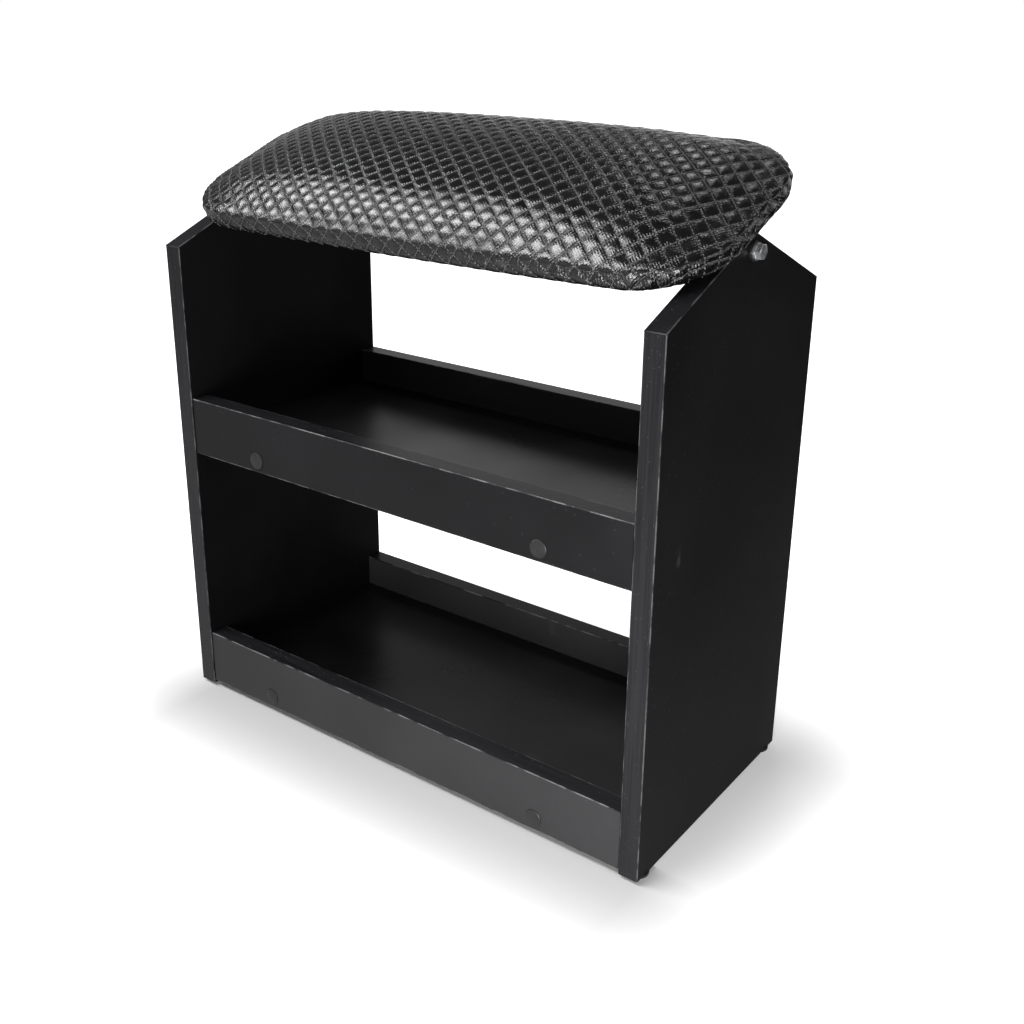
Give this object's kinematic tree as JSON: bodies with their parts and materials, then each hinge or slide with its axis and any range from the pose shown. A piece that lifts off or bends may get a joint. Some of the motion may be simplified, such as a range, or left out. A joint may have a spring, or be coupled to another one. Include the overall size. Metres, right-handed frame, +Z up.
{
  "type": "pedicure footrest",
  "caption": "Salon pedicure footrest: small two-shelf cabinet of dark board with gabled sides and a quilted cushion that tilts on a through axis.",
  "frame": {"origin": "on the floor, at the middle of the plan", "axes": "+Z up, +X to the right seen from the front, the front at -Y; the cushion tilts on an axis along X"},
  "size_m": [0.48, 0.2224, 0.506],
  "materials": {
    "board": "black melamine-coated particle board, fine satin texture",
    "banding": "black edge banding, satin",
    "zinc_steel": "bright zinc plating",
    "cap_plastic": "black moulded plastic",
    "zinc_cast": "die-cast zinc",
    "dowel_wood": "plain beech",
    "glide_plastic": "black nylon",
    "base_wood": "raw plywood",
    "foam": "cut upholstery foam",
    "faux_leather": "glossy black quilted faux leather",
    "cloth": "black non-woven cloth",
    "block_wood": "black painted wood"
  },
  "bodies": {
    "cabinet": {"left_panel": "board", "right_panel": "board", "left_panel_banding": "banding", "right_panel_banding": "banding", "mid_shelf": "board", "bottom_shelf": "board", "mid_front_rail": "board", "mid_back_rail": "board", "bottom_front_rail": "board", "bottom_back_rail": "board", "mid_rail_banding": "banding", "bottom_rail_banding": "banding", "rail_screws": "zinc_steel", "screw_caps": "cap_plastic", "cam_housings": "zinc_cast", "cam_bolts": "zinc_steel", "dowels": "dowel_wood", "floor_glides": "glide_plastic", "left_pivot_bushes": "glide_plastic", "right_pivot_bushes": "glide_plastic"},
    "cushion": {"cushion_board": "base_wood", "cushion_foam": "foam", "cushion_cover": "faux_leather", "dust_cloth": "cloth", "cover_staples": "zinc_steel", "left_pivot_block": "block_wood", "right_pivot_block": "block_wood", "block_screws": "zinc_steel", "left_pivot_bolt": "zinc_steel", "right_pivot_bolt": "zinc_steel", "bolt_washers": "zinc_steel", "lock_nuts": "zinc_steel"}
  },
  "joints": [
    {"name": "cushion_tilt", "type": "hinge", "parent": "cabinet", "child": "cushion", "pos_m": [0, 0, 0.43412], "axis": [-1, 0, 0], "range_deg": [-2.5, 46.5]}
  ]
}
